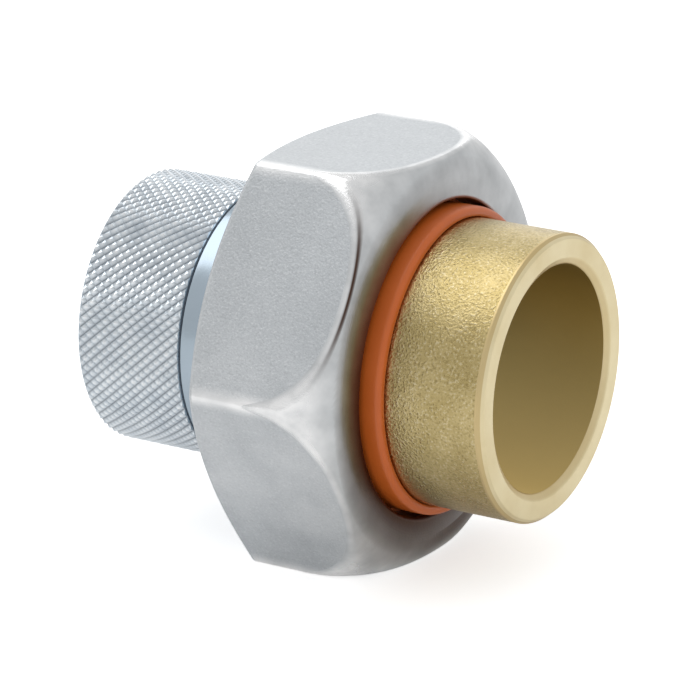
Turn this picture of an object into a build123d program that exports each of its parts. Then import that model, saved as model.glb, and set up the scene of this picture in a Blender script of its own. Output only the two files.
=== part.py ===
# Pipe union: a brass solder tail held against a threaded steel body by a six-sided nut,
# with a plastic collar and a rubber washer keeping the two metals apart.
#
# Row frame, millimetres: +X runs along the waterway towards the solder end, +Z is up,
# the nut lies on one of its flats, and the origin is on the axis half way along.

import os

from build123d import *

# ---------------------------------------------------------------- driving sizes
overall_length = 58.7        # solder mouth to threaded mouth

# brass tail: solder cup for 28.58 mm copper tube
socket_radius = 14.34        # tube radius and 0.05 of room for solder
socket_depth = 21.4
tail_radius = 18.15
tail_length = 24.4
tail_flange_radius = 21.6
tail_flange_thick = 3.4
waterway_radius = 12.9
tail_mouth_chamfer = 0.6     # outer edge of the machined end, across the face
tail_mouth_run = 0.7         # and along the tube
cup_lead_in = 0.95           # inner edge, across the face
cup_lead_run = 0.6           # and along the tube

# plastic collar between the nut and the tail
collar_bore_radius = 18.2    # runs on the tail with 0.05 of room
collar_radius = 19.5
collar_flange_radius = 21.5
collar_flange_thick = 1.4
collar_stand_out = 2.25      # lip that shows in front of the nut

# nut
across_flats = 51.9
nut_length = 20.4
corner_round = 0.9
lip_thick = 4.1
lip_bore_radius = 20.12
dome_start_radius = 22.9     # front face is flat out to here
dome_depth = 9.7             # how far back the dome reaches, along the axis
dome_top_radius = 0.5758 * across_flats  # where the dome meets the nut's corners
back_cut = 2.0               # axial depth of the cone that cuts the back corners
back_face_radius = 0.4965 * across_flats

# union thread, 46 x 2, stood in for by two plain walls at its pitch radius
thread_pitch_radius = 22.46
thread_room = 0.05
thread_lead_in = 1.1

# washer
washer_thick = 2.4
washer_radius = 21.4
washer_bore_radius = 13.1

# steel body
body_bore_radius = 11.0
seat_flare = 1.6             # lead-in from the washer's hole to the body's bore
collar_length = 9.7          # threaded collar, seat face to shoulder
neck_radius = 17.4
neck_fillet = 2.0
grip_radius = 17.7
grip_length = 15.4
grip_edge = 0.4
pipe_wall_radius = 11.9      # tap-drill wall of the 3/4 in pipe thread
pipe_thread_depth = 14.6
pipe_thread_chamfer = 1.5

# ---------------------------------------------------------------- places along X
tail_end = overall_length / 2
body_end = -overall_length / 2
tail_back = tail_end - tail_length
tail_flange_front = tail_back + tail_flange_thick
collar_flange_front = tail_flange_front + collar_flange_thick
nut_front = collar_flange_front + lip_thick
nut_back = nut_front - nut_length
collar_front = nut_front + collar_stand_out
seat_face = tail_back - washer_thick
shoulder = seat_face - collar_length
grip_front = body_end + grip_length
lip_edge = 0.6
dome_rise = dome_top_radius - dome_start_radius


def turned(points):
    # face of a closed outline given as (x, radius) pairs, ready to turn about X
    with BuildSketch() as outline:
        with BuildLine():
            Polyline(*points, close=True)
        make_face()
    return outline.sketch


# ---------------------------------------------------------------- steel body
with BuildPart() as steel_body:
    add(turned([
        (body_end, 0),
        (body_end, grip_radius - grip_edge),
        (body_end + grip_edge, grip_radius),
        (grip_front - grip_edge, grip_radius),
        (grip_front, neck_radius),
        (shoulder, neck_radius),
        (shoulder, thread_pitch_radius),
        (seat_face - thread_lead_in, thread_pitch_radius),
        (seat_face, thread_pitch_radius - thread_lead_in),
        (seat_face, 0),
    ]))
    revolve(axis=Axis.X)
    inner_corner = (
        steel_body.edges()
        .filter_by(GeomType.CIRCLE)
        .filter_by(lambda e: abs(e.center().X - shoulder) < 0.01 and abs(e.radius - neck_radius) < 0.01)
    )
    fillet(inner_corner, neck_fillet)
    add(turned([
        (body_end, 0),
        (body_end, pipe_wall_radius + pipe_thread_chamfer),
        (body_end + pipe_thread_chamfer, pipe_wall_radius),
        (body_end + pipe_thread_depth, pipe_wall_radius),
        (body_end + pipe_thread_depth + pipe_wall_radius - body_bore_radius, body_bore_radius),
        (seat_face - seat_flare, body_bore_radius),
        (seat_face, body_bore_radius + seat_flare),
        (seat_face, 0),
    ]))
    revolve(axis=Axis.X, mode=Mode.SUBTRACT)
steel_body.part.label = "steel_body"

# ---------------------------------------------------------------- washer
with BuildPart() as gasket:
    with BuildSketch(Plane.YZ.offset(seat_face)):
        Circle(washer_radius)
        Circle(washer_bore_radius, mode=Mode.SUBTRACT)
    extrude(amount=washer_thick)
gasket.part.label = "gasket"

# ---------------------------------------------------------------- brass tail
with BuildPart() as tailpiece:
    add(turned([
        (tail_back, waterway_radius),
        (tail_back, tail_flange_radius),
        (tail_flange_front, tail_flange_radius),
        (tail_flange_front, tail_radius),
        (tail_end - tail_mouth_run, tail_radius),
        (tail_end, tail_radius - tail_mouth_chamfer),
        (tail_end, socket_radius + cup_lead_in),
        (tail_end - cup_lead_run, socket_radius),
        (tail_end - socket_depth, socket_radius),
        (tail_end - socket_depth, waterway_radius),
    ]))
    revolve(axis=Axis.X)
tailpiece.part.label = "tailpiece"

# ---------------------------------------------------------------- plastic collar
collar_wall = collar_radius - collar_bore_radius
with BuildPart() as insulator:
    add(turned([
        (tail_flange_front, collar_bore_radius),
        (tail_flange_front, collar_flange_radius),
        (collar_flange_front, collar_flange_radius),
        (collar_flange_front, collar_radius),
        (collar_front, collar_radius),
        (collar_front, collar_bore_radius),
    ]))
    revolve(axis=Axis.X)
    lip = (
        insulator.edges()
        .filter_by(GeomType.CIRCLE)
        .filter_by(lambda e: abs(e.center().X - collar_front) < 0.01)
    )
    fillet(lip, collar_wall * 0.42)
insulator.part.label = "insulator"

# ---------------------------------------------------------------- nut
with BuildPart() as union_nut:
    with BuildSketch(Plane.YZ.offset(nut_back)) as six_sided:
        RegularPolygon(across_flats / 2, 6, major_radius=False)
        fillet(six_sided.vertices(), corner_round)
    extrude(amount=nut_length)
    with BuildSketch() as dome:
        with BuildLine():
            top = EllipticalCenterArc(
                (nut_front - dome_depth, dome_start_radius), dome_depth, dome_rise,
                start_angle=0, arc_size=90,
            )
            Polyline(
                top @ 1,
                (nut_back + back_cut, dome_top_radius),
                (nut_back, back_face_radius),
                (nut_back, 0),
                (nut_front, 0),
                top @ 0,
            )
        make_face()
    revolve(axis=Axis.X, mode=Mode.INTERSECT)
    add(turned([
        (nut_back, 0),
        (nut_back, thread_pitch_radius + thread_room + thread_lead_in),
        (nut_back + thread_lead_in, thread_pitch_radius + thread_room),
        (collar_flange_front, thread_pitch_radius + thread_room),
        (collar_flange_front, lip_bore_radius),
        (nut_front - lip_edge, lip_bore_radius),
        (nut_front, lip_bore_radius + lip_edge),
        (nut_front, 0),
    ]))
    revolve(axis=Axis.X, mode=Mode.SUBTRACT)
union_nut.part.label = "union_nut"

# ---------------------------------------------------------------- files
os.makedirs("parts", exist_ok=True)
export_step(steel_body.part, "parts/steel_body.step")
export_step(gasket.part, "parts/gasket.step")
export_step(tailpiece.part, "parts/tailpiece.step")
export_step(insulator.part, "parts/insulator.step")
export_step(union_nut.part, "parts/union_nut.step")

for piece in (steel_body, gasket, tailpiece, insulator, union_nut):
    box = piece.part.bounding_box()
    print(f"{piece.part.label}: x {box.min.X:.2f} to {box.max.X:.2f}, {piece.part.volume / 1000:.2f} cm3")
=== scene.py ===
import math

import bpy
import numpy as np
from mathutils import Matrix


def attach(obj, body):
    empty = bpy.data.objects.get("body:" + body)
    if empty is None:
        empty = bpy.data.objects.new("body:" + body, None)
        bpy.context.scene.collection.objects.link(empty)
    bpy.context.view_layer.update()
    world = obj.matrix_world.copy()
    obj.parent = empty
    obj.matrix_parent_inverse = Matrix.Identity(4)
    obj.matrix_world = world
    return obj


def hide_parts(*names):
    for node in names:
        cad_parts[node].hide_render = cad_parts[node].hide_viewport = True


# Pipe union. Row frame in metres: +X runs along the waterway to the solder end, +Z is up.
# Every new piece is a closed ring of rows, worked out in millimetres and written in metres.

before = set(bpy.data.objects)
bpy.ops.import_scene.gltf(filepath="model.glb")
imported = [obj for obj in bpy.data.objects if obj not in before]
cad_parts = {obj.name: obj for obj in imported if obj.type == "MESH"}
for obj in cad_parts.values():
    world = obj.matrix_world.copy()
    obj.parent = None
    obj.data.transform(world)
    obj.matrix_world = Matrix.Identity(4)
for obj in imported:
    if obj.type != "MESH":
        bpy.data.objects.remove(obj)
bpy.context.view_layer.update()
print("frame loaded:", sorted(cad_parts))

twoPi = 2 * math.pi
metre = 0.001             # one millimetre, in metres
mergeCells = 1e7          # cells in a metre: points in the same cell become one
seam = 0.02               # gap in mm that parts one block of rows from the next


def evenAngles(count):
    return np.arange(count) * twoPi / count


def hump(angles, at, spread, power=2):
    # smooth hump round the axis: exp(-((angle - at) / spread) ^ power), in degrees
    return np.exp(-((np.degrees(angles) - at) / spread) ** power)


def roundedOutline(corners, step, arcSteps):
    # open line through (x, radius, rounding) corners, each rounded by a true arc, then
    # straight stretches cut into pieces no longer than step
    c = np.asarray(corners, float)
    p = c[:, :2]
    arcs = []
    for i in range(1, len(c) - 1):
        u = (p[i - 1] - p[i]) / np.linalg.norm(p[i - 1] - p[i])
        v = (p[i + 1] - p[i]) / np.linalg.norm(p[i + 1] - p[i])
        half = math.acos(np.clip(u @ v, -1, 1)) / 2
        rho = c[i, 2]
        if rho <= 0 or abs(half - math.pi / 2) < 0.02:
            arcs.append(p[i][None])
            continue
        reach = rho / math.tan(half)
        mid = p[i] + (u + v) / np.linalg.norm(u + v) * rho / math.sin(half)
        a = p[i] + u * reach - mid
        b = p[i] + v * reach - mid
        turn = math.acos(np.clip(a @ b / rho**2, -1, 1))
        t = np.linspace(0, 1, arcSteps + 1)[:, None]
        arcs.append(mid + (np.sin((1 - t) * turn) * a + np.sin(t * turn) * b) / math.sin(turn))
    pieces = [p[0][None]] + arcs + [p[-1][None]]
    line = [pieces[0]]
    for a, b in zip(pieces[:-1], pieces[1:]):
        gap = np.linalg.norm(b[0] - a[-1])
        n = max(1, math.ceil(gap / step))
        t = np.linspace(0, 1, n + 1)[1:, None]
        line.append(a[-1] + (b[0] - a[-1]) * t)
        line.append(b[1:])
    return np.vstack(line)


def turnedBlock(corners, columns, mat, step=0.6, arcSteps=5, **masks):
    # rows of a turned surface: the rounded outline's x and radius, the same at every angle
    line = roundedOutline(corners, step, arcSteps)
    ones = np.ones(columns)
    return {"x": line[:, :1] * ones, "r": line[:, 1:] * ones, "mat": mat, **masks}


threadShape = {
    "place": [0.0, 0.055, 0.10, 0.34, 0.40, 0.60, 0.66, 0.90, 0.945],  # within one pitch
    "height": [1.0, 1.0, 0.92, 0.08, 0.0, 0.0, 0.08, 0.92, 1.0],       # 0 root, 1 crest
    "turnsBefore": 2, "turnsSpare": 5,
}


def threadBlock(thread, angles, mat, turnedRound=False):
    # screw surface: x grows by one pitch a turn, radius depends only on the place within the
    # pitch, and both ends run out to the root; rows past an end collapse onto that end's ring
    pitch = thread["pitch"]
    low, high = thread["from"], thread["to"]
    turns = math.ceil((high - low) / pitch) + threadShape["turnsSpare"]
    along = (np.arange(turns)[:, None] + np.array(threadShape["place"])).ravel() * pitch
    height = np.tile(threadShape["height"], turns)[:, None]
    start = math.floor(low / pitch) - threadShape["turnsBefore"] + thread.get("shift", 0)
    x = start * pitch + along[:, None] + pitch * angles / twoPi
    runOut = thread["runOut"]
    fade = np.clip((x - low) / runOut, 0, 1) * np.clip((high - x) / runOut, 0, 1)
    x = np.clip(x, low, high)
    r = thread["root"] + (thread["crest"] - thread["root"]) * height * fade
    r = r + thread.get("taper", 0.0) * (x - low)
    wrap = len(threadShape["place"])
    if turnedRound:
        return {"x": x[::-1], "r": r[::-1], "mat": mat, "wrap": -wrap}
    return {"x": x, "r": r, "mat": mat, "wrap": wrap}


def ringMesh(blocks, angles):
    # points and triangles of stacked blocks: the last row joins the first, the last column
    # joins the first, one screw pitch on where a block says so, and equal points are merged
    xs = np.vstack([b["x"] for b in blocks])
    rs = np.vstack([b["r"] for b in blocks])
    rowsOf = [len(b["x"]) for b in blocks]
    rows, cols = xs.shape
    points = np.stack([xs, rs * np.cos(angles), rs * np.sin(angles)], -1) * metre
    i = np.arange(rows)[:, None] + np.zeros((1, cols), int)
    j = np.arange(cols)[None, :] + np.zeros((rows, 1), int)
    below = (i + 1) % rows
    wrap = np.repeat([b.get("wrap", 0) for b in blocks], rowsOf)
    starts = np.repeat(np.cumsum([0] + rowsOf[:-1]), rowsOf)
    ends = starts + np.repeat(rowsOf, rowsOf) - 1

    def nextColumn(row):
        moved = np.clip(row + wrap[row], starts[row], ends[row])
        return np.where(j == cols - 1, moved, row) * cols + (j + 1) % cols

    a, b, c, d = i * cols + j, below * cols + j, nextColumn(below), nextColumn(i)
    # facetted blocks take their diagonals by turns, so that each diamond is split alike
    facet = np.repeat([b.get("facet", False) for b in blocks], rowsOf)
    inBlock = i - starts[:, None]
    other = (facet[:, None] & ((inBlock + j) % 2 == 1))[..., None]
    t1 = np.where(other, np.stack([a, b, d], -1), np.stack([a, b, c], -1))
    t2 = np.where(other, np.stack([b, c, d], -1), np.stack([a, c, d], -1))
    tris = np.concatenate([t1.reshape(-1, 3), t2.reshape(-1, 3)])
    rowOf = np.tile(i.ravel(), 2)
    flat = points.reshape(-1, 3)
    cells = np.round(flat * mergeCells).astype(np.int64)
    _, first, back = np.unique(cells, axis=0, return_index=True, return_inverse=True)
    tris = back.ravel()[tris]
    a, b, c = tris.T
    whole = (a != b) & (b != c) & (c != a)
    tris, rowOf = tris[whole], rowOf[whole]
    points = flat[first]
    corners = points[tris]
    if np.einsum("ij,ij->", corners[:, 0], np.cross(corners[:, 1], corners[:, 2])) < 0:
        tris = tris[:, ::-1]
    mats = np.repeat([b["mat"] for b in blocks], rowsOf)
    return points, tris, mats[rowOf], facet[rowOf], first


def addRing(name, blocks, angles, materials):
    # one piece from its blocks, with a brightening mask (wear and painted highlight) and a
    # darkening mask (mostly painted shade) as point attributes
    points, tris, mats, facets, first = ringMesh(blocks, angles)
    mesh = bpy.data.meshes.new(name)
    mesh.from_pydata(points.tolist(), [], tris.tolist())
    mesh.polygons.foreach_set("material_index", mats.astype(np.int32))
    mesh.polygons.foreach_set("use_smooth", ~facets)
    for key in ("edge", "pit"):
        mask = np.vstack([np.broadcast_to(b.get(key, 0.0), b["x"].shape) for b in blocks])
        layer = mesh.attributes.new(key, "FLOAT", "POINT")
        layer.data.foreach_set("value", mask.astype(float).ravel()[first].astype(np.float32))
    for material in materials:
        mesh.materials.append(material)
    mesh.update()
    piece = bpy.data.objects.new(name, mesh)
    bpy.context.scene.collection.objects.link(piece)
    edges = np.sort(np.concatenate([tris[:, [0, 1]], tris[:, [1, 2]], tris[:, [2, 0]]]), 1)
    used = np.unique(edges, axis=0, return_counts=True)[1]
    print(f"{name}: {len(tris)} triangles, open or doubled edges {int((used != 2).sum())}")
    return piece


def newGroup(name, inputs, outputs):
    group = bpy.data.node_groups.new(name, "ShaderNodeTree")
    for label, value in inputs:
        socket = group.interface.new_socket(label, in_out="INPUT", socket_type="NodeSocketFloat")
        socket.default_value = value
    for label in outputs:
        group.interface.new_socket(label, in_out="OUTPUT", socket_type="NodeSocketFloat")
    return group, group.nodes.new("NodeGroupInput"), group.nodes.new("NodeGroupOutput")


def setOrLink(tree, socket, value):
    # a number or a colour goes on the socket itself, anything else is a link
    if isinstance(value, (int, float)):
        socket.default_value = value
    elif isinstance(value, tuple):
        socket.default_value = (*value, 1)
    else:
        tree.links.new(value, socket)


def mathNode(tree, kind, a, b=None, clamp=False):
    n = tree.nodes.new("ShaderNodeMath")
    n.operation = kind
    n.use_clamp = clamp
    setOrLink(tree, n.inputs[0], a)
    if b is not None:
        setOrLink(tree, n.inputs[1], b)
    return n.outputs[0]


def mixColour(tree, factor, a, b):
    n = tree.nodes.new("ShaderNodeMix")
    n.data_type = "RGBA"
    setOrLink(tree, n.inputs[0], factor)
    setOrLink(tree, n.inputs[6], a)
    setOrLink(tree, n.inputs[7], b)
    return n.outputs[2]


def noiseNode(tree, where, size, shape):
    # noise whose features are about as wide as the socket's size in millimetres
    n = tree.nodes.new("ShaderNodeTexNoise")
    n.inputs["Detail"].default_value, n.inputs["Roughness"].default_value = shape
    tree.links.new(where, n.inputs["Vector"])
    tree.links.new(mathNode(tree, "DIVIDE", 1 / metre, size), n.inputs["Scale"])
    return n.outputs["Fac"]


def objectPlace(tree):
    # the piece's own x, y and z, in metres
    parts = tree.nodes.new("ShaderNodeSeparateXYZ")
    tree.links.new(tree.nodes.new("ShaderNodeTexCoord").outputs["Object"], parts.inputs[0])
    return parts.outputs


# each noise's detail and roughness, then where specks and pores start and how sharply
grainShape = {"fine": (2.0, 0.6), "broad": (3.0, 0.55),
              "speckAbove": 0.56, "poreBelow": 0.45, "cut": 9.0}


def makeGrain(shape):
    # blasted or cast skin: fine grains over broad cloudy patches; the highest grains come out
    # as specks and the lowest as pores, cut off sharply
    group, gi, go = newGroup("grain", [("Grain Size", 0.3), ("Patch Size", 6.0)],
                             ["Height", "Patches", "Specks", "Pores"])
    at = group.nodes.new("ShaderNodeTexCoord").outputs["Object"]
    fine = noiseNode(group, at, gi.outputs["Grain Size"], shape["fine"])
    broad = noiseNode(group, at, gi.outputs["Patch Size"], shape["broad"])
    over = mathNode(group, "SUBTRACT", fine, shape["speckAbove"])
    under = mathNode(group, "SUBTRACT", shape["poreBelow"], fine)
    group.links.new(fine, go.inputs["Height"])
    group.links.new(broad, go.inputs["Patches"])
    specks = mathNode(group, "MULTIPLY", over, shape["cut"], clamp=True)
    pores = mathNode(group, "MULTIPLY", under, shape["cut"], clamp=True)
    group.links.new(specks, go.inputs["Specks"])
    group.links.new(pores, go.inputs["Pores"])
    return group


def makeLathe(shape):
    # turning marks: noise over (radius, x), so fine rings all about the X axis
    group, gi, go = newGroup("latheMarks", [("Ring Pitch", 0.2), ("Along", 0.0)], ["Height"])
    x, y, z = objectPlace(group)
    squares = mathNode(group, "ADD", mathNode(group, "MULTIPLY", y, y),
                       mathNode(group, "MULTIPLY", z, z))
    rings = group.nodes.new("ShaderNodeCombineXYZ")
    group.links.new(mathNode(group, "SQRT", squares), rings.inputs[0])
    group.links.new(mathNode(group, "MULTIPLY", x, gi.outputs["Along"]), rings.inputs[1])
    marks = noiseNode(group, rings.outputs[0], gi.outputs["Ring Pitch"], shape["fine"])
    group.links.new(marks, go.inputs["Height"])
    return group


grainGroup = makeGrain(grainShape)
latheGroup = makeLathe(grainShape)


def useGroup(tree, group, values):
    n = tree.nodes.new("ShaderNodeGroup")
    n.node_tree = group
    for key, value in values.items():
        n.inputs[key].default_value = value
    return n.outputs


def newMaterial(name, roughness, metallic):
    m = bpy.data.materials.new(name)
    m.use_nodes = True
    shader = m.node_tree.nodes["Principled BSDF"]
    shader.inputs["Roughness"].default_value = roughness
    shader.inputs["Metallic"].default_value = metallic
    return m, m.node_tree, shader.inputs


def maskNode(tree, name):
    n = tree.nodes.new("ShaderNodeAttribute")
    n.attribute_name = name
    return n.outputs["Fac"]


def addBump(tree, inputs, height, distance):
    n = tree.nodes.new("ShaderNodeBump")
    n.inputs["Distance"].default_value = distance * metre
    tree.links.new(height, n.inputs["Height"])
    tree.links.new(n.outputs[0], inputs["Normal"])


def cloudyRoughness(tree, patches, swing, rough):
    # roughness that follows the cloudy patches: rough + swing * (patches - 0.5)
    centred = mathNode(tree, "SUBTRACT", patches, 0.5)
    return mathNode(tree, "ADD", mathNode(tree, "MULTIPLY", centred, swing), rough)


# what a metal has unless its own look says otherwise
plainMetal = {
    "ring": 0.2, "along": 1.0, "ringDepth": 0.0, "roughSwing": 0.12,
    "speck": 0.0, "speckColour": (1.0, 1.0, 1.0),
    "pores": 0.0, "poreColour": (0.05, 0.05, 0.05),
    "pit": 0.0, "pitPower": 1.0, "pitColour": (0.05, 0.05, 0.05),
    "edge": 0.0, "edgeColour": (1.0, 1.0, 1.0), "edgePolish": 0.12,
    "wearAndSheenGain": 2.4, "wearAndSheenOffset": -0.2,
}


def metalMaterial(ownLook):
    # plated or bare metal: patchy colour, grain or turning marks, a brightening mask from the mesh
    # (partly wear, partly painted highlight) and a darkening mask (mostly painted shade and
    # reflection)
    look = {**plainMetal, **ownLook}
    m, tree, inputs = newMaterial(look["name"], look["rough"], 1.0)
    grain = useGroup(tree, grainGroup, {"Grain Size": look["grain"], "Patch Size": look["patch"]})
    lathe = useGroup(tree, latheGroup, {"Ring Pitch": look["ring"], "Along": look["along"]})
    wearAndSheenWeight = mathNode(tree, "MULTIPLY", grain["Patches"], look["wearAndSheenGain"])
    wearAndSheenWeight = mathNode(tree, "ADD", wearAndSheenWeight, look["wearAndSheenOffset"])
    # brightening: whiter and less rough, partly wear and partly painted highlight, in patches
    edge = mathNode(tree, "MULTIPLY", maskNode(tree, "edge"), look["edge"])
    edge = mathNode(tree, "MULTIPLY", edge, wearAndSheenWeight, clamp=True)
    # darkening towards a dark colour: mostly painted shade and painted reflection
    pit = mathNode(tree, "POWER", maskNode(tree, "pit"), look["pitPower"])
    pit = mathNode(tree, "MULTIPLY", pit, look["pit"], clamp=True)
    colour = mixColour(tree, grain["Patches"], look["dark"], look["light"])
    for factor, tint in (
        (mathNode(tree, "MULTIPLY", grain["Specks"], look["speck"]), "speckColour"),
        (mathNode(tree, "MULTIPLY", grain["Pores"], look["pores"]), "poreColour"),
        (pit, "pitColour"),
        (edge, "edgeColour"),
    ):
        colour = mixColour(tree, factor, colour, look[tint])
    tree.links.new(colour, inputs["Base Color"])
    rough = cloudyRoughness(tree, grain["Patches"], look["roughSwing"], look["rough"])
    polish = mathNode(tree, "MULTIPLY", edge, look["edgePolish"])
    tree.links.new(mathNode(tree, "SUBTRACT", rough, polish, clamp=True), inputs["Roughness"])
    if "glowLow" in look:
        # painted bounce light: the cup glows by emission, brighter on the low side, by height z
        z = objectPlace(tree)["Z"]
        depth = mathNode(tree, "MULTIPLY", z, -0.5 / (look["glowReach"] * metre))
        depth = mathNode(tree, "ADD", depth, 0.5, clamp=True)
        low = mathNode(tree, "POWER", depth, look["glowPower"])
        tree.links.new(mixColour(tree, low, look["glowTop"], look["glowLow"]),
                       inputs["Emission Color"])
        inputs["Emission Strength"].default_value = 1.0
    h1 = mathNode(tree, "MULTIPLY", grain["Height"], look["grainDepth"])
    h2 = mathNode(tree, "MULTIPLY", lathe["Height"], look["ringDepth"])
    addBump(tree, inputs, mathNode(tree, "ADD", h1, h2), look["bump"])
    return m


def softMaterial(look):
    # plastic or rubber: two close tones in cloudy patches over a faint moulded grain
    m, tree, inputs = newMaterial(look["name"], look["rough"], 0.0)
    grain = useGroup(tree, grainGroup, {"Grain Size": look["grain"], "Patch Size": look["patch"]})
    tree.links.new(mixColour(tree, grain["Patches"], look["dark"], look["light"]),
                   inputs["Base Color"])
    tree.links.new(cloudyRoughness(tree, grain["Patches"], look["roughSwing"], look["rough"]),
                   inputs["Roughness"])
    addBump(tree, inputs, grain["Height"], look["bump"])
    return m


bodySize = {
    "columns": 320,           # four to each knurl start
    "end": -29.35, "seat": 2.55, "bore": 11.0, "faceRound": 0.15,
    "gripRadius": 17.7, "knurlDepth": 0.30, "crossCut": 0.6, "knurlPitch": 1.55,
    "knurlFrom": -29.05, "knurlRows": 38, "crestAbove": 0.9,
    "neckRadius": 17.4, "grooveDepth": 0.2, "grooveFrom": 0.10, "grooveTo": 0.20,
    "neckFrom": 0.38, "shoulder": -7.15, "neckFillet": 2.0, "seatFlare": 1.6,
    "mouthRadius": 14.6, "mouthRoot": 13.35, "mouthDepth": 1.4, "boreRound": 0.3,
    "boreFrom": -13.75, "boreFlareFrom": -14.65, "boreFlare": 12.2,
}
unionThread = {"pitch": 2.0, "from": -6.6, "to": 2.05, "root": 21.75, "crest": 22.9, "runOut": 0.9}
pipeThread = {"pitch": 1.814, "from": -27.95, "to": -14.95, "root": 13.35, "crest": 12.0,
              "runOut": 1.2, "taper": -0.031}

# knurl: grooves darkened as painted shade; crests whiter, partly wear and partly painted glint
knurlLook = {"name": "knurledZinc", "rough": 0.22, "roughSwing": 0.3, "grain": 0.25, "patch": 2.6,
             "dark": (0.49, 0.56, 0.63), "light": (0.90, 0.96, 1.0), "grainDepth": 0.5,
             "pit": 0.7, "pitPower": 3.0, "pitColour": (0.12, 0.13, 0.15),
             "edge": 0.6, "bump": 0.03}
# neck: its dark colour also paints shade into the groove beside the knurl
neckLook = {"name": "neckZinc", "rough": 0.20, "grain": 0.6, "patch": 9.0,
            "dark": (0.38, 0.455, 0.52), "light": (0.48, 0.565, 0.64), "grainDepth": 0.05,
            "ring": 0.25, "ringDepth": 0.25, "bump": 0.02,
            "pit": 0.95, "pitColour": (0.06, 0.07, 0.09), "grooveShade": 0.8}
innerLook = {"name": "innerZinc", "rough": 0.30, "grain": 0.4, "patch": 6.0,
             "dark": (0.42, 0.44, 0.46), "light": (0.60, 0.62, 0.64), "grainDepth": 0.15,
             "ring": 0.3, "ringDepth": 0.4, "bump": 0.03}


def knurlBlock(size, angles, mat):
    # diamond knurl: two families of slanting grooves, the second one shallower; the height is
    # the smaller of the distances to the nearest groove of each, so diamonds come to points
    k = np.arange(size["knurlRows"] + 1)[:, None]
    j = np.arange(len(angles))[None, :]
    a = (k + j) / 4
    b = (k - j) / 4
    main = 2 * np.abs(a - np.round(a))
    cross = 1 - size["crossCut"] * (1 - 2 * np.abs(b - np.round(b)))
    rise = np.minimum(main, cross)
    x = size["knurlFrom"] + k * size["knurlPitch"] / 4 + 0 * j
    r = size["gripRadius"] - size["knurlDepth"] * (1 - rise)
    # groove bottoms darkened as painted shade; crests brightened, partly wear and partly painted
    # glint
    return {"x": x, "r": r, "mat": mat, "facet": True, "pit": 1 - rise,
            "edge": rise > size["crestAbove"]}


def buildBody(size):
    # turned bar from the threaded mouth round to the pipe thread's end, going outside first
    angles = evenAngles(size["columns"])
    n = size["columns"]
    knurl = knurlBlock(size, angles, 0)
    end, seat, bore, small = size["end"], size["seat"], size["bore"], size["faceRound"]
    knurlTo = knurl["x"][-1, 0]
    low = size["gripRadius"] - size["knurlDepth"]
    neck = size["neckRadius"]
    groove = neck - size["grooveDepth"]
    root = unionThread["root"]
    mouth = turnedBlock([
        (end + size["mouthDepth"], size["mouthRoot"], 0), (end, size["mouthRadius"], small),
        (end, low - 0.1, 0.08), (size["knurlFrom"] - 0.03, low - seam, 0)], n, 1)
    # groove between knurl and neck, darkened as painted shade
    grooveCut = turnedBlock([
        (knurlTo + 0.04, low - 0.04, 0), (knurlTo + size["grooveFrom"], groove, 0.03),
        (knurlTo + size["grooveTo"], groove, 0.04)], n, 1, pit=neckLook["grooveShade"])
    neckAndShoulder = turnedBlock([
        (knurlTo + size["grooveTo"] + seam, groove + 0.01, 0),
        (knurlTo + size["neckFrom"], neck, 0.1), (size["shoulder"], neck, size["neckFillet"]),
        (size["shoulder"], root, 0.2), (unionThread["from"] - seam, root, 0)], n, 1)
    seatAndBore = turnedBlock([
        (unionThread["to"] + seam, root, 0), (seat, root - 0.5, 0.12),
        (seat, bore + size["seatFlare"], small),
        (seat - size["seatFlare"], bore, size["boreRound"]),
        (size["boreFrom"], bore, size["boreRound"]),
        (size["boreFlareFrom"], size["boreFlare"], 0.2),
        (pipeThread["to"] + seam, pipeThread["root"] - 0.42, 0)], n, 2, step=1.2)
    blocks = [mouth, knurl, grooveCut, neckAndShoulder, threadBlock(unionThread, angles, 1),
              seatAndBore, threadBlock(pipeThread, angles, 2, turnedRound=True)]
    return addRing("steelBody", blocks, angles,
                   [metalMaterial(look) for look in (knurlLook, neckLook, innerLook)])


nutSize = {
    "acrossFlats": 51.9, "cornerRound": 0.9, "flatColumns": 44, "cornerColumns": 8,
    "front": 13.85, "back": -6.55, "lipInner": 9.75, "lipBore": 20.12, "lipEdge": 0.6,
    "domeStart": 22.9, "domeTop": 29.88, "domeDepth": 9.7, "domeRows": 18,
    "edgeRound": 0.6, "cornerWear": 3.0, "edgeRows": 8,
    "backCut": 2.0, "backFace": 25.77, "backRound": 0.3, "backRows": 6, "sideRows": 14,
    "leastCut": 0.12, "sideSupport": 0.1, "coneInside": 0.35, "ringInside": 0.6,
    "threadMouth": 23.75, "besideCorner": (0.8, 0.3),
}
nutThread = {"pitch": 2.0, "from": -5.45, "to": 8.05, "root": 23.05, "crest": 22.0,
             "runOut": 0.9, "shift": 0.5}
# painted reflection, shade and light, and wear, round the nut: places and spreads in degrees about
# the axis, +Y is 0, +Z is 90
nutLightAndWear = {
    # painted warm reflection of the collar with painted shade, strongest near the bore; the bore
    # wall in painted shadow
    "ringReach": 25.4, "ringFade": 0.5, "ringMean": 0.66, "ringSide": 0.34, "ringUp": 0.32,
    "lipDepth": 0.35,
    # painted shade under the dome, and a painted shade line along one flat's front edge
    "underAt": 282, "underSpread": 34, "under": 0.88,
    "lineAt": 146, "lineSpread": 21, "linePlace": 0.2, "lineWidth": 0.22, "lineOnDome": 0.75,
    # painted light on the lower flat, and painted shade dimming the bottom corner's band
    "lowAt": 210, "lowSpread": 28, "low": 0.22,
    "dimAt": 234, "dimSpread": 20, "dim": 0.6, "leastBright": 0.45,
    # rounded corners and edges brighter: partly wear, partly painted highlight
    "cornerSpread": 0.7, "cornerRise": 2.4, "cornerWearAndSheen": 0.8, "backWearAndSheen": 0.15,
}
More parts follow.
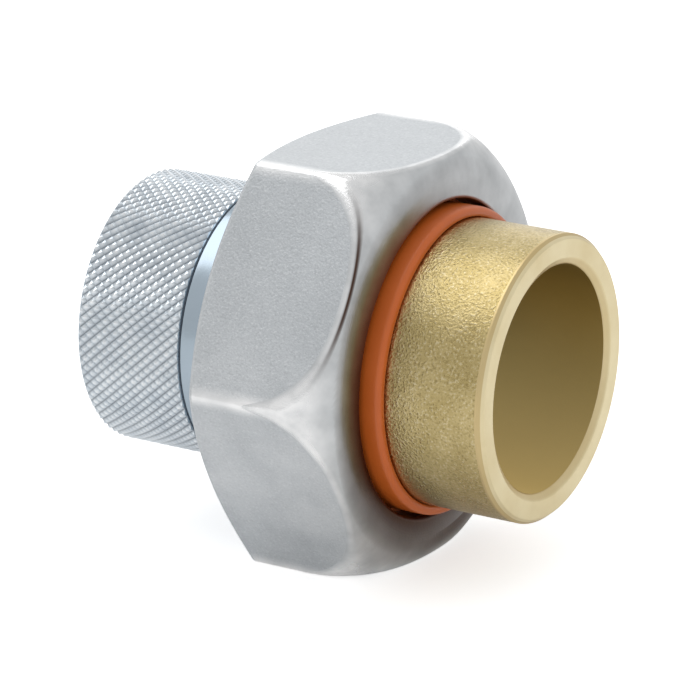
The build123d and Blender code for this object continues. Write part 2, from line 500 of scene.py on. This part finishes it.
nutLook = {"name": "satinZinc", "rough": 0.42, "grain": 0.30, "patch": 8.0,
           "dark": (0.49, 0.515, 0.535), "light": (0.62, 0.645, 0.665), "grainDepth": 1.2,
           "speck": 0.25, "speckColour": (0.88, 0.89, 0.90),
           "pores": 0.22, "poreColour": (0.30, 0.31, 0.32), "edge": 1.0, "bump": 0.035}
# its warm dark colour is for the painted reflection and shade beside the collar and under the dome
domeLook = {"name": "turnedZinc", "rough": 0.34, "grain": 0.30, "patch": 4.5,
            "dark": (0.40, 0.42, 0.43), "light": (0.84, 0.86, 0.875), "grainDepth": 0.6,
            "ring": 0.35, "ringDepth": 0.6, "along": 0.2,
            "pit": 0.97, "pitColour": (0.06, 0.021, 0.007), "edge": 1.0, "bump": 0.035}


def hexagonAngles(size):
    # column angles over six sides: even steps along each flat, even turns round each corner;
    # with each comes the bar's radius there and how much of a corner it is
    apothem = size["acrossFlats"] / 2
    rho = size["cornerRound"]
    flatHalf = (apothem - rho) * math.tan(math.pi / 6)
    n, c = size["flatColumns"], size["cornerColumns"]
    s = np.linspace(-flatHalf, flatHalf, n + 1)
    turn = np.linspace(0, math.pi / 3, c + 1)[1:-1]
    cx = apothem - rho + rho * np.cos(turn)
    cy = flatHalf + rho * np.sin(turn)
    side = np.concatenate([np.arctan2(s, apothem), np.arctan2(cy, cx)])
    radius = np.concatenate([np.hypot(s, apothem), np.hypot(cx, cy)])
    isCorner = np.concatenate([np.zeros(n + 1), np.ones(c - 1)])
    isCorner[[0, n]], isCorner[[1, n - 1]] = size["besideCorner"]
    angles = np.concatenate([side + math.pi / 6 + k * math.pi / 3 for k in range(6)]) % twoPi
    order = np.argsort(angles)
    return angles[order], np.tile(radius, 6)[order], np.tile(isCorner, 6)[order]


def bend(start, middle, end, steps):
    # parabola between two points, pulled towards a third: (1-t)^2 a + 2t(1-t) b + t^2 c
    t = np.linspace(0, 1, steps)[:, None]
    return (1 - t) ** 2 * start + 2 * t * (1 - t) * middle + t**2 * end


def buildNut(size, lightAndWear):
    # hexagonal bar cut by a turned dome: for every angle the section follows the ellipse of
    # the dome out to the bar's radius there, turns through a small rounding, then runs back
    # to the cone that cuts the back corners
    angles, bar, corner = hexagonAngles(size)
    n = len(angles)
    front, back, depth = size["front"], size["back"], size["domeDepth"]
    rise = size["domeTop"] - size["domeStart"]
    lip, backFace = size["lipBore"], size["backFace"]

    def onDome(turn):
        return front - depth * (1 - np.cos(turn)), size["domeStart"] + rise * np.sin(turn)

    # the rounding grows towards the corners, where the nut is most worn
    reach = np.arcsin(np.clip((bar - size["domeStart"]) / rise, 0, 0.9999))
    crossX, _ = onDome(reach)
    wearAndSheenWeight = ((bar - bar.min()) / (bar.max() - bar.min())) ** 2
    soft = size["edgeRound"] * (1 + size["cornerWear"] * wearAndSheenWeight)
    before = reach - soft / np.hypot(depth * np.sin(reach), rise * np.cos(reach))
    t = np.linspace(0, 1, size["domeRows"])[:, None]
    domeX, domeR = onDome(t * before)
    edgeX = bend(domeX[-1], crossX, crossX - soft, size["edgeRows"])
    edgeR = bend(domeR[-1], bar, bar, size["edgeRows"])

    # back cone: straight from the flat back face out to where it meets the bar
    slope = size["backCut"] / (size["domeTop"] - backFace)
    small = size["backRound"]
    cutX = back + np.maximum(bar - backFace, size["leastCut"]) * slope
    sideEnd = cutX + small
    s = np.linspace(0, 1, size["sideRows"])[1:-1, None]
    sideX = np.vstack([edgeX[-1] - size["sideSupport"], edgeX[-1] + (sideEnd - edgeX[-1]) * s,
                       sideEnd + size["sideSupport"]])
    run = math.hypot(1, slope)
    coneX, coneR = cutX - small * slope / run, bar - small / run
    backEdgeX = bend(sideEnd, cutX, coneX, size["backRows"])
    backEdgeR = bend(bar, bar, coneR, size["backRows"])
    inward = np.linspace(0, 1, size["backRows"])[1:, None]
    faceR = coneR + (backFace - size["coneInside"] - coneR) * inward
    faceX = np.maximum(back, back + (faceR - backFace) * slope)

    def besideRing(radius):
        # painted warm dark reflection of the collar, with painted shade: strongest at the bore and
        # on the -Y and lower side
        near = np.clip((lightAndWear["ringReach"] - radius) / (lightAndWear["ringReach"] - lip), 0, 1)
        side = lightAndWear["ringSide"] * np.cos(angles) + lightAndWear["ringUp"] * np.sin(angles)
        return near ** lightAndWear["ringFade"] * (lightAndWear["ringMean"] - side)

    lipBlock = turnedBlock([
        (nutThread["to"] + seam, nutThread["root"], 0), (size["lipInner"], nutThread["root"], 0.2),
        (size["lipInner"], lip, 0.15), (front, lip, size["lipEdge"]),
        (front, size["domeStart"] - 0.1, 0)], n, 1, step=0.25, arcSteps=4)
    # the bore wall inside the lip is darkened fully: painted shadow
    inBore = lipBlock["x"] < front - lightAndWear["lipDepth"]
    lipBlock["pit"] = np.where(inBore, 1.0, besideRing(lipBlock["r"]))

    # painted shade under the dome, and a thin painted shade line along one flat's front edge
    facing = hump(angles, lightAndWear["lineAt"], lightAndWear["lineSpread"], 4)
    under = lightAndWear["under"] * hump(angles, lightAndWear["underAt"], lightAndWear["underSpread"]) * (1 - t**3)
    domePit = np.maximum(under, besideRing(domeR))
    domePit[-1] = np.maximum(domePit[-1], lightAndWear["lineOnDome"] * facing)
    # bright patch where the flats meet the dome: partly wear, partly painted highlight
    atCorner = wearAndSheenWeight ** lightAndWear["cornerSpread"]
    e = np.linspace(0, 1, size["edgeRows"])[:, None]
    line = np.exp(-((e - lightAndWear["linePlace"]) / lightAndWear["lineWidth"]) ** 4) * facing
    # band along the rounded edges brighter towards the corners, partly wear and partly painted
    # highlight, dimmed at the bottom corner as painted shade
    bright = lightAndWear["leastBright"] + (1 - lightAndWear["leastBright"]) * wearAndSheenWeight**0.5
    bright = bright * (1 - lightAndWear["dim"] * hump(angles, lightAndWear["dimAt"], lightAndWear["dimSpread"]))
    junction = atCorner * (1 - e**3) + lightAndWear["cornerWearAndSheen"] * corner * e**3
    wearAndHighlight = np.maximum(np.sin(math.pi * e) * bright, junction)
    # painted light on the lower flat
    low = lightAndWear["low"] * hump(angles, lightAndWear["lowAt"], lightAndWear["lowSpread"])

    blocks = [
        lipBlock,
        {"x": domeX, "r": domeR, "mat": 1, "pit": domePit,
         "edge": atCorner * t ** lightAndWear["cornerRise"]},
        {"x": edgeX, "r": edgeR, "mat": 1, "pit": line, "edge": wearAndHighlight * (1 - line)},
        {"x": sideX, "r": bar + 0 * sideX, "mat": 0, "edge": lightAndWear["cornerWearAndSheen"] * corner + low},
        {"x": backEdgeX, "r": backEdgeR, "mat": 0, "edge": lightAndWear["backWearAndSheen"]},
        {"x": faceX, "r": faceR, "mat": 1},
        turnedBlock([(back, backFace - size["ringInside"], 0), (back, size["threadMouth"], 0.12),
                     (nutThread["from"] - seam, nutThread["root"], 0)], n, 1, arcSteps=4),
        threadBlock(nutThread, angles, 2),
    ]
    return addRing("unionNut", blocks, angles,
                   [metalMaterial(look) for look in
                    (nutLook, domeLook, {**innerLook, "name": "nutInner"})])


tailSize = {
    "columns": 288, "end": 29.35, "back": 4.95, "flangeFront": 8.35, "flangeRadius": 21.6,
    "radius": 18.15, "socket": 14.34, "socketDepth": 21.4, "waterway": 12.9,
    "chamferAcross": 0.6, "chamferAlong": 0.7, "leadAcross": 0.95, "leadAlong": 0.6,
    "shoulderRound": 0.25, "machined": 0.3, "chamferDarkening": 0.7, "leadDarkening": 0.45,
}
blastedLook = {"name": "blastedBrass", "rough": 0.28, "grain": 0.32, "patch": 5.0,
               "dark": (0.36, 0.27, 0.09), "light": (0.72, 0.585, 0.30), "grainDepth": 1.0,
               "speck": 0.32, "speckColour": (1.0, 0.91, 0.68), "bump": 0.10,
               "pores": 0.42, "poreColour": (0.20, 0.14, 0.045)}
machinedLook = {"name": "machinedBrass", "rough": 0.38, "grain": 0.35, "patch": 6.0,
                "dark": (0.75, 0.61, 0.33), "light": (1.0, 0.90, 0.62), "grainDepth": 0.3,
                "ring": 0.18, "ringDepth": 0.35, "bump": 0.02,
                "pit": 1.0, "pitColour": (0.60, 0.44, 0.19)}
# inside of the cup: a darker copy of the brass as painted shade, with a painted glow of bounce
# light
cupLook = {"name": "cupBrass", "rough": 0.45, "grain": 0.5, "patch": 9.0,
           "dark": (0.26, 0.195, 0.06), "light": (0.33, 0.25, 0.09), "grainDepth": 0.12,
           "ring": 0.4, "ringDepth": 0.25, "bump": 0.02, "glowReach": 14.3, "glowPower": 1.6,
           "glowTop": (0.0, 0.0, 0.0), "glowLow": (0.29, 0.215, 0.085)}


def buildTail(size):
    # turned tube: the outline goes round the wall once, so the ring closes on itself
    n = size["columns"]
    end, back, radius, socket = size["end"], size["back"], size["radius"], size["socket"]
    across, along, small = size["chamferAcross"], size["chamferAlong"], size["shoulderRound"]
    flangeFront, flange = size["flangeFront"], size["flangeRadius"]
    cup, lead = end - size["socketDepth"], end - size["leadAlong"]
    turnedFrom = end - along - size["machined"]
    halfX, halfR = end - along / 2, radius - across / 2
    outside = turnedBlock([
        (back + seam, size["waterway"] + 0.3, 0), (back, flange, small),
        (flangeFront, flange, small), (flangeFront, radius, 0.05), (turnedFrom, radius, 0)], n, 0)
    chamfer = turnedBlock([
        # outer chamfer darker and more golden than the face
        (turnedFrom + seam, radius, 0), (end - along, radius, 0.2), (halfX, halfR, 0)],
        n, 1, step=0.15, pit=size["chamferDarkening"])
    face = turnedBlock([
        (halfX + seam, halfR - seam, 0), (end, radius - across, small),
        (end, socket + size["leadAcross"], 0.2), (lead, socket, 0)], n, 1, step=0.3)
    # the face darkens towards the lead into the socket
    inward = np.clip((socket + size["leadAcross"] - face["r"]) / size["machined"], 0, 1)
    face["pit"] = size["leadDarkening"] * inward
    inside = turnedBlock([
        (lead - seam, socket, 0), (cup, socket, 0.2), (cup, size["waterway"], small),
        (back + 0.3, size["waterway"], 0)], n, 2, step=0.8)
    return addRing("brassTail", [outside, chamfer, face, inside], evenAngles(n),
                   [metalMaterial(look) for look in (blastedLook, machinedLook, cupLook)])


collarSize = {"columns": 288, "back": 8.35, "flangeFront": 9.75, "flangeRadius": 21.5,
              "outer": 19.5, "inner": 18.2, "front": 16.1, "outerLip": 0.62, "innerLip": 0.3}
washerSize = {"columns": 192, "back": 2.55, "front": 4.95, "outer": 21.4, "inner": 13.1,
              "rim": 0.3}
plasticLook = {"name": "orangePlastic", "rough": 0.35, "dark": (0.59, 0.118, 0.013),
               "light": (0.72, 0.158, 0.026), "grain": 0.35, "patch": 6.0,
               "roughSwing": 0.1, "bump": 0.012}
rubberLook = {"name": "blackRubber", "rough": 0.75, "dark": (0.012, 0.012, 0.012),
              "light": (0.03, 0.03, 0.03), "grain": 0.25, "patch": 6.0,
              "roughSwing": 0.1, "bump": 0.02}


def buildCollar(size):
    # top-hat ring: sleeve with a full round lip in front and a flat flange behind
    n = size["columns"]
    back, front, inner, outer = size["back"], size["front"], size["inner"], size["outer"]
    flangeFront, flange = size["flangeFront"], size["flangeRadius"]
    wall = outer - inner
    block = turnedBlock([
        (back, inner + 0.3, 0), (back, flange, 0.2), (flangeFront, flange, 0.2),
        (flangeFront, outer, 0.1), (front, outer, wall * size["outerLip"]),
        (front, inner, wall * size["innerLip"]), (back + 0.1, inner, 0)], n, 0, 0.4, 8)
    return addRing("plasticCollar", [block], evenAngles(n), [softMaterial(plasticLook)])


def buildWasher(size):
    # flat rubber ring with softly moulded rims
    n = size["columns"]
    back, front, inner, outer = size["back"], size["front"], size["inner"], size["outer"]
    rim = size["rim"]
    block = turnedBlock([
        (back, inner + 0.6, 0), (back, outer, rim), (front, outer, rim), (front, inner, rim),
        (back, inner, rim), (back, inner + 0.5, 0)], n, 0, 0.6, 4)
    return addRing("rubberWasher", [block], evenAngles(n), [softMaterial(rubberLook)])


for piece, body, matSlot in (
    (buildBody(bodySize), "steel_body", "plated_steel"),
    (buildNut(nutSize, nutLightAndWear), "union_nut", "nut_steel"),
    (buildTail(tailSize), "tailpiece", "brass"),
    (buildCollar(collarSize), "insulator", "orange_plastic"),
    (buildWasher(washerSize), "gasket", "black_rubber"),
):
    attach(piece, body)
    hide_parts(body)
print("pieces built")


# lights and camera: angles in degrees, the lights' lengths in metres, the camera's in mm
studio = {
    "floor": (0.86, 0.86, 0.86), "floorGlow": 0.5, "tableGlow": 0.10,
    "floorLevel": -0.026, "floorReach": 3.0, "floorSides": 96,
    "world": (1.0, 1.0, 1.0), "worldStrength": 0.70,
}
keyLight = {"azimuth": -83, "elevation": 60, "distance": 0.6, "size": 0.5, "power": 1.0}
backLight = {"azimuth": -148, "elevation": 22, "distance": 0.7, "size": 0.5, "power": 0.43}
cameraView = {
    "azimuth": 30.94, "elevation": 18.78, "turn": 1.44, "distance": 515.65,
    "aim": 28.82, "across": 24.51, "up": -3.56,
    "focal": 4200.0, "frameWidth": 700, "sensor": 36, "clipStart": 0.01,
}


def viewAxes(look):
    # unit vectors towards the viewer, to the right and up, for an azimuth and an elevation
    a, e = math.radians(look["azimuth"]), math.radians(look["elevation"])
    back = np.array([math.sin(a) * math.cos(e), -math.cos(a) * math.cos(e), math.sin(e)])
    right = np.cross(-back, [0, 0, 1])
    right /= np.linalg.norm(right)
    return back, right, np.cross(right, -back)


def placed(axes, place):
    # matrix of something at a place that looks back along the view's axes
    back, right, up = axes
    return Matrix([[right[i], up[i], back[i], place[i]] for i in range(3)] + [[0, 0, 0, 1]])


def addFloor(look):
    # flat disc just under the nut, wide enough to fill the view
    n = look["floorSides"]
    angles = evenAngles(n)
    rim = np.stack([np.cos(angles), np.sin(angles), 0 * angles], -1) * look["floorReach"]
    points = np.vstack([[0, 0, 0], rim])
    points[:, 2] = look["floorLevel"]
    k = np.arange(n)
    faces = np.stack([0 * k, k + 1, (k + 1) % n + 1], -1)
    mesh = bpy.data.meshes.new("studioFloor")
    mesh.from_pydata(points.tolist(), [], faces.tolist())
    floor = bpy.data.objects.new("studioFloor", mesh)
    m, tree, inputs = newMaterial("paleFloor", 0.9, 0.0)
    inputs["Base Color"].default_value = (*look["floor"], 1)
    inputs["Emission Color"].default_value = (1, 1, 1, 1)
    seen = tree.nodes.new("ShaderNodeLightPath").outputs["Is Camera Ray"]
    glow = mathNode(tree, "MULTIPLY", seen, look["floorGlow"])
    tree.links.new(mathNode(tree, "ADD", glow, look["tableGlow"]), inputs["Emission Strength"])
    mesh.materials.append(m)
    bpy.context.scene.collection.objects.link(floor)


def addLight(name, look):
    # square soft light looking at the middle of the object
    axes = viewAxes(look)
    data = bpy.data.lights.new(name, "AREA")
    data.shape = "SQUARE"
    data.size = look["size"]
    data.energy = look["power"]
    lamp = bpy.data.objects.new(name, data)
    lamp.matrix_world = placed(axes, axes[0] * look["distance"])
    bpy.context.scene.collection.objects.link(lamp)


def addCamera(look):
    back, right, up = viewAxes(look)
    place = np.array([look["aim"], 0, 0]) + back * look["distance"]
    place = (place - right * look["across"] - up * look["up"]) * metre
    data = bpy.data.cameras.new("camera")
    data.lens = look["sensor"] * look["focal"] / look["frameWidth"]
    data.sensor_width = look["sensor"]
    data.clip_start = look["clipStart"]
    camera = bpy.data.objects.new("camera", data)
    turn = Matrix.Rotation(math.radians(look["turn"]), 4, "X")
    camera.matrix_world = turn @ placed((back, right, up), place)
    bpy.context.scene.collection.objects.link(camera)
    bpy.context.scene.camera = camera


world = bpy.data.worlds.new("studio")
bpy.context.scene.world = world
world.use_nodes = True
background = world.node_tree.nodes["Background"].inputs
background[0].default_value = (*studio["world"], 1)
background[1].default_value = studio["worldStrength"]
addFloor(studio)
addLight("keyLight", keyLight)
addLight("backLight", backLight)
addCamera(cameraView)
bpy.context.scene.view_settings.view_transform = "Standard"
print("studio set")
